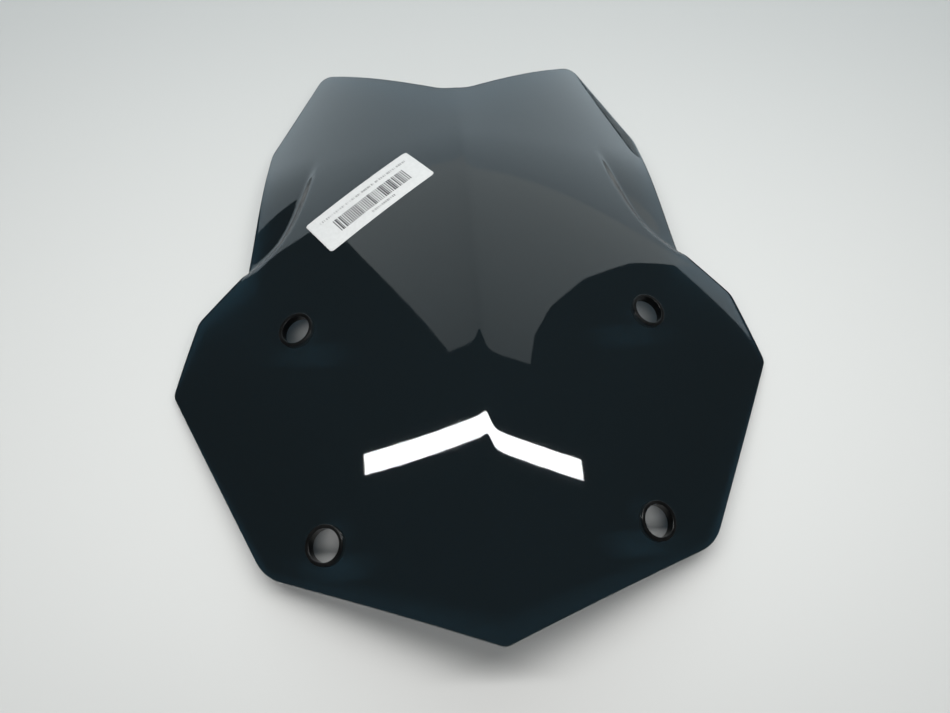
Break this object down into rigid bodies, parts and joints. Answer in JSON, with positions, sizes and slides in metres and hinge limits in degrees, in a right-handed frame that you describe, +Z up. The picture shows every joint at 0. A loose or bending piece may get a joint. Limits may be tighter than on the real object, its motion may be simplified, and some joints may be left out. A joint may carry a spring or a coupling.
{
  "type": "motorcycle windscreen",
  "caption": "Smoked one-piece moulded motorcycle windscreen with a centre crease, stepped side panels and rubber-lined fixing holes for screws or studs.",
  "frame": {"origin": "under the middle of the screen, on the surface it lies on with its outer face up", "axes": "+X to the right seen with the lower tip towards the viewer, +Y from the lower tip to the top edge, +Z up out of the outer face"},
  "size_m": [0.4018, 0.4643, 0.0742],
  "materials": {
    "smoked_plastic": "clear dark smoke tint, polished both sides, light handling scratches",
    "black_rubber": "satin moulded rubber",
    "label_paper": null
  },
  "bodies": {
    "root": {"screen": "smoked_plastic", "grommet_upper_left": "black_rubber", "grommet_upper_right": "black_rubber", "grommet_lower_left": "black_rubber", "grommet_lower_right": "black_rubber", "stock_label": "label_paper"}
  },
  "joints": []
}
